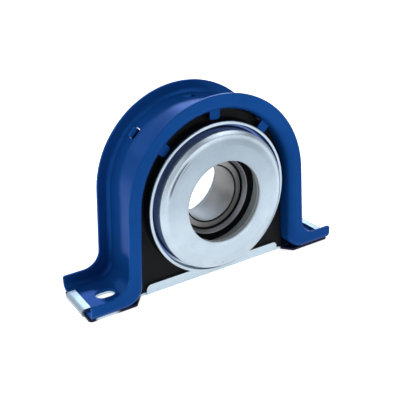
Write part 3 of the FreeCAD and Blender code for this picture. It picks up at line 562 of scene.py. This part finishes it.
ring_face = -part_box("front_retainer")[0].y
finishes = {
    "bracket": blue_paint(),
    "base_strap": strap_zinc(WAIST, HEEL, STRAP_END, TONGUE_HALF),
    "rubber_cushion": rubber(
        "cushion_rubber", dark=(0.0028, 0.0035, 0.0045), bloom=(0.0075, 0.0085, 0.010),
        roughness=0.52),
    "retainer": retainer_zinc(GROOVE_EDGE, ring_face),
    "dust_shield": shield_zinc(SHIELD_SHOULDER, SHIELD_HOLE),
    "seal_case": ground_steel(
        "case_zinc", pale=(0.44, 0.48, 0.48), dull=(0.36, 0.40, 0.40), metallic=0.3),
    "lip_seal": rubber(
        "seal_rubber", dark=(0.002, 0.002, 0.0025), bloom=(0.004, 0.004, 0.005),
        roughness=0.42),
    "flinger": ground_steel(
        "flinger_steel", pale=(0.34, 0.35, 0.37), dull=(0.27, 0.28, 0.30),
        oily=((RING_SHOULDER, 0.0007),)),
    "bearing_steel": ground_steel(
        "bearing_steel", pale=(0.33, 0.318, 0.312), dull=(0.25, 0.242, 0.238),
        oily=((BORE + 0.0006, 0.0007), (RING_SHOULDER - 0.0002, 0.0008))),
}


def finish_of(node):
    """The finish of a node, whose name may start with front_ or rear_."""
    piece = node.removeprefix("front_").removeprefix("rear_")
    piece = piece.replace("bearing_seal", "lip_seal")
    return finishes.get(piece, finishes["bearing_steel"])


for name, thing in nodes.items():
    thing.data.materials.clear()
    thing.data.materials.append(finish_of(name))
print("dressed", len(nodes), "nodes in", len(finishes), "finishes")

# %% [markdown]
# ## Turned pieces by Geometry Nodes
#
# A dust shield is a round cap: a section of thin sheet, turned about the shaft. It could be
# a Screw modifier on an outline, but the corners of the sheet are rounded by different
# radii, and in Geometry Nodes one recipe does both: it rounds the corners of a plain
# outline, then lays the rounded outline's points round the axis on a grid. The outline is
# drawn in the plane of radius (X) and distance along the shaft (Y), and each corner
# carries its own rounding as an attribute.

# %% The recipe


def turning_recipe():
    """Rounds a closed outline and turns it about the Y axis."""
    tree = bpy.data.node_groups.new("turned_piece", "GeometryNodeTree")
    inputs = {
        "Outline": "Geometry", "Points in a rounding": "Int", "Steps round": "Int",
        "Merge distance": "Float", "Material": "Material"}
    for name, kind in inputs.items():
        tree.interface.new_socket(name, in_out="INPUT", socket_type="NodeSocket" + kind)
    tree.interface.new_socket(
        "Geometry", in_out="OUTPUT", socket_type="NodeSocketGeometry")
    recipe = Wiring(tree)
    given = tree.nodes.new("NodeGroupInput")
    asked = {socket.name: Value(recipe, socket) for socket in given.outputs}

    curve = recipe.node("GeometryNodeMeshToCurve", None, {"Mesh": asked["Outline"]})
    rounding = recipe.node(
        "GeometryNodeInputNamedAttribute", {"data_type": "FLOAT"}, {"Name": "rounding"})
    curve = recipe.node("GeometryNodeFilletCurve", {"mode": "POLY"}, {
        "Curve": curve, "Count": asked["Points in a rounding"], "Radius": rounding,
        "Limit Radius": True})
    line = recipe.node("GeometryNodeCurveToMesh", None, {"Curve": curve})
    points = recipe.node("GeometryNodeAttributeDomainSize", None, {"Geometry": line})

    grid = recipe.node("GeometryNodeMeshGrid", None, {
        "Size X": 1.0, "Size Y": 1.0, "Vertices X": points + 1,
        "Vertices Y": asked["Steps round"]})
    across, around, _ = recipe.node("GeometryNodeInputPosition").xyz()
    index = ((across + 0.5) * points).math("ROUND").math("FLOORED_MODULO", points)
    sampled = recipe.node("GeometryNodeSampleIndex", {"data_type": "FLOAT_VECTOR"}, {
        "Geometry": line, "Index": index,
        "Value": recipe.node("GeometryNodeInputPosition")})
    radius, along, _ = sampled.xyz()
    angle = (around + 0.5) * math.tau
    place = recipe.vector(
        radius * angle.math("COSINE"), along, radius * angle.math("SINE"))
    solid = recipe.node("GeometryNodeSetPosition", None, {
        "Geometry": grid, "Position": place})
    solid = recipe.node("GeometryNodeMergeByDistance", None, {
        "Geometry": solid, "Distance": asked["Merge distance"]})
    solid = recipe.node("GeometryNodeRealizeInstances", None, {"Geometry": solid})
    solid = recipe.node("GeometryNodeSetMaterial", None, {
        "Geometry": solid, "Material": asked["Material"]})
    result = tree.nodes.new("NodeGroupOutput")
    tree.links.new(solid.socket, result.inputs["Geometry"])
    return tree


turning = turning_recipe()
print("recipe of", len(turning.nodes), "nodes")

# %% [markdown]
# The result is baked into a plain mesh: the modifier's inputs are set by their
# identifiers, the evaluated object is copied with `new_from_object`, and its normals are
# made to point outwards. Edges sharper than 35 degrees stay crisp.

# %% Turn an outline into a piece
STEPS_ROUND, POINTS_IN_A_ROUNDING = 288, 7
MERGE_DISTANCE = 0.000002
SMOOTH_BELOW = math.radians(35)


def turned_piece(name, corners, material):
    """A piece turned from corners of (radius, along the shaft, rounding), in mm."""
    outline = bpy.data.meshes.new(name + "_outline")
    count = len(corners)
    outline.from_pydata(
        [(radius / 1000, along / 1000, 0) for radius, along, _ in corners],
        [(i, (i + 1) % count) for i in range(count)], [])
    rounding = outline.attributes.new("rounding", "FLOAT", "POINT")
    rounding.data.foreach_set("value", [corner[2] / 1000 for corner in corners])
    draft = bpy.data.objects.new(name + "_draft", outline)
    bpy.context.scene.collection.objects.link(draft)

    modifier = draft.modifiers.new("turn", "NODES")
    modifier.node_group = turning
    settings = {
        "Points in a rounding": POINTS_IN_A_ROUNDING, "Steps round": STEPS_ROUND + 1,
        "Merge distance": MERGE_DISTANCE, "Material": material}
    for item in turning.interface.items_tree:
        if item.name in settings:
            modifier[item.identifier] = settings[item.name]
    ready = draft.evaluated_get(bpy.context.evaluated_depsgraph_get())
    mesh = bpy.data.meshes.new_from_object(ready)
    bpy.data.objects.remove(draft)

    shell = bmesh.new()
    shell.from_mesh(mesh)
    bmesh.ops.recalc_face_normals(shell, faces=shell.faces)
    shell.to_mesh(mesh)
    shell.free()
    mesh.name = name
    mesh.shade_smooth()
    mesh.set_sharp_from_angle(angle=SMOOTH_BELOW)
    piece = bpy.data.objects.new(name, mesh)
    bpy.context.scene.collection.objects.link(piece)
    print(name, len(mesh.polygons), "faces")
    return piece


# %% [markdown]
# Most turned pieces come in pairs, one in front of the bearing and one behind it, so a
# section is drawn once, for the rear, and mirrored for the front. Each piece stands for
# its node: the node is hidden, and the piece rides on the node's body.

# %% Place a pair of turned pieces


def place_pair(kind, corners):
    """Turns the corners in front and behind, in place of the nodes of this kind."""
    for side, sign in (("front", -1), ("rear", 1)):
        node = side + "_" + kind
        mirrored = [(radius, sign * along, bend) for radius, along, bend in corners]
        piece = turned_piece(node + "_dressed", mirrored, finishes[kind])
        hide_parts(node)
        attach(piece, body_of[node])


# %% [markdown]
# ## The dust shields
#
# The shield's face isn't quite flat: it is crowned and falls away by two millimetres
# towards its rounded shoulder, and a shallow slope leads to the hole, where the sheet turns
# straight inwards. That is what makes the sheen change from rim to hole.

# %% Make the dust shields
SHEET, HOLE, LIP_DEPTH = 1.2, SHIELD_HOLE * 1000, 5.4
CROWN_RADIUS, SHOULDER_WIDTH, SHOULDER_DROP, SIDE_DROP = 44.5, 2.6, 1.9, 3.9
ROLL_WIDTH, ROLL_DROP = 2.6, 0.8


def shield_corners(outside, face, back):
    """Corners of the shield's section, in mm, face and back from the middle plane."""
    shoulder = outside - SHOULDER_WIDTH
    return [
        (outside, back, 0.2),
        (outside, face - SIDE_DROP, 1.0),
        (shoulder, face - SHOULDER_DROP, 3.0),
        (CROWN_RADIUS, face, 6.0),
        (HOLE + ROLL_WIDTH, face, 1.5),
        (HOLE, face - ROLL_DROP, 0.35),
        (HOLE, face - LIP_DEPTH, 0.5),
        (HOLE + SHEET, face - LIP_DEPTH, 0.5),
        (HOLE + SHEET, face - ROLL_DROP - SHEET, 0.8),
        (HOLE + ROLL_WIDTH, face - SHEET, 1.0),
        (CROWN_RADIUS, face - SHEET, 5.0),
        (shoulder - SHEET / 2, face - SHOULDER_DROP - SHEET, 2.0),
        (outside - SHEET, face - SIDE_DROP - SHEET / 2, 0.6),
        (outside - SHEET, back, 0.2),
    ]


low, high = (tuple(1000 * c for c in corner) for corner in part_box("rear_dust_shield"))
place_pair("dust_shield", shield_corners(outside=high[0], face=high[1], back=low[1]))

# %% [markdown]
# ## Retainers and flingers
#
# The same recipe turns the stepped retainers, whose outer rim is rolled round and catches
# the light as a bright ring, and the flingers, thin sleeves with a rolled edge. Only their
# roundings are richer than in the construction model: the steps are where they were.

# %% Make the retainers
BEARING_SEAT, SHIELD_SEAT, RING_IN, RING_OUT = 42.55, 54.75, 57.8, 60.4
RING_FACE, RING_BACK, GROOVE_FLOOR, SEAT_FLOOR, MIDDLE = 24.8, 22.4, 19.5, 12.5, 0.05
RETAINER_SHEET = 1.5

place_pair("retainer", [
    (RING_IN, RING_FACE, 0.7),
    (RING_OUT, RING_FACE, 1.0),
    (RING_OUT, RING_BACK, 0.8),
    (RING_IN + RETAINER_SHEET, RING_BACK, 0.1),
    (RING_IN + RETAINER_SHEET, GROOVE_FLOOR - RETAINER_SHEET, 1.2),
    (SHIELD_SEAT + RETAINER_SHEET, GROOVE_FLOOR - RETAINER_SHEET, 0.3),
    (SHIELD_SEAT + RETAINER_SHEET, SEAT_FLOOR - RETAINER_SHEET, 1.2),
    (BEARING_SEAT + RETAINER_SHEET, SEAT_FLOOR - RETAINER_SHEET, 0.3),
    (BEARING_SEAT + RETAINER_SHEET, MIDDLE, 0.3),
    (BEARING_SEAT, MIDDLE, 0.3),
    (BEARING_SEAT, SEAT_FLOOR, 1.5),
    (SHIELD_SEAT, SEAT_FLOOR, 0.3),
    (SHIELD_SEAT, GROOVE_FLOOR, 1.5),
    (RING_IN, GROOVE_FLOOR, 0.7),
])

# %% Make the flingers
SLEEVE, FLARE, FLINGER_SHEET = 28.55, 2.3, 1.1
ROOT, NECK, REACH = 9.6, 12.4, 16.7

place_pair("flinger", [
    (SLEEVE, ROOT, 0.1),
    (SLEEVE, NECK, 2.0),
    (SLEEVE + FLARE, REACH, 0.5),
    (SLEEVE + FLARE + FLINGER_SHEET, REACH, 0.5),
    (SLEEVE + FLINGER_SHEET, NECK, 2.0),
    (SLEEVE + FLINGER_SHEET, ROOT, 0.1),
])

# %% [markdown]
# ## Light
#
# The part lies on a glowing white table, as small parts do in a catalogue: the table is the
# background and lights the part from below, and leaves no shadow. The room above is dim,
# so that the paint stays deep, and bright only near the horizon.

# %% Light the table and the room
TABLE_GLOW = 0.76
ZENITH, HORIZON = (0.15, 0.16, 0.18), (0.80, 0.84, 0.88)


def glowing_table():
    table = Finish("white_table")
    grain = table.noise(30, detail=2)
    return table.wire(
        Base_Color=table.blend(grain, (0.78, 0.78, 0.79), (0.82, 0.82, 0.82)),
        Roughness=0.9,
        Emission_Color=(1.0, 1.0, 1.0, 1),
        Emission_Strength=TABLE_GLOW,
    )


def room(zenith, horizon):
    """A sky that is bright at the horizon and dim above."""
    world = bpy.data.worlds.new("studio")
    bpy.context.scene.world = world
    world.use_nodes = True
    sky = Wiring(world.node_tree)
    height = sky.node("ShaderNodeTexCoord", output="Generated").xyz()[2]
    colour = sky.node(
        "ShaderNodeValToRGB", {"stops": ((0.10, horizon), (0.45, zenith))}, {0: height})
    sky.tree.links.new(colour.socket, sky.tree.nodes["Background"].inputs["Color"])


floor.data.materials.append(glowing_table())
room(ZENITH, HORIZON)

# %% [markdown]
# Softboxes shape the part. The small key stands behind it at the left and glints on the
# shoulders of the shields. Wide boxes overhead, at the left and in front fill the faces.
# Two long ones behind, a pale wall and a bluer one low at the right, give the web of the
# bracket and the bore their sheen. The size of each is in metres, and its brightness is
# set against a white sheet of 1.

# %% Hang the softboxes
WHITE, COOL = (1, 1, 1), (0.85, 0.95, 1.0)
PALE_SKY, SKY = (0.80, 0.90, 1.0), (0.68, 0.83, 1.0)
SOFTBOXES = (
    ("key", (-0.85, 0.49, 0.85), (0.3, 0.3), 10.0, COOL),
    ("overhead", (-0.35, 0.25, 1.2), (0.9, 0.7), 1.4, WHITE),
    ("left_strip", (-1.2, -0.3, 0.45), (0.5, 0.9), 1.6, WHITE),
    ("front_fill", (0.5, -1.4, 0.25), (1.0, 0.5), 1.2, WHITE),
    ("front_left", (-0.75, -0.90, 0.86), (0.8, 0.6), 1.3, WHITE),
    ("front_top", (0.65, -0.5, 1.05), (0.9, 0.9), 2.2, WHITE),
    ("back_wall", (-0.35, 1.30, 0.80), (2.0, 0.8), 1.2, PALE_SKY),
    ("web_sheen", (0.66, 1.35, 0.60), (1.5, 0.7), 4.0, SKY),
)


def softbox(name, position, size, brightness, colour):
    """A rectangular lamp that faces the object."""
    lamp = bpy.data.lights.new(name, "AREA")
    lamp.shape = "RECTANGLE"
    lamp.size, lamp.size_y = size
    lamp.energy = brightness * math.pi * size[0] * size[1]
    lamp.color = colour
    box = bpy.data.objects.new(name, lamp)
    box.rotation_mode = "QUATERNION"
    box.rotation_quaternion = (-Vector(position)).to_track_quat("-Z", "Y")
    box.location = position
    bpy.context.scene.collection.objects.link(box)


for settings in SOFTBOXES:
    softbox(*settings)
print("hung", len(SOFTBOXES), "softboxes")
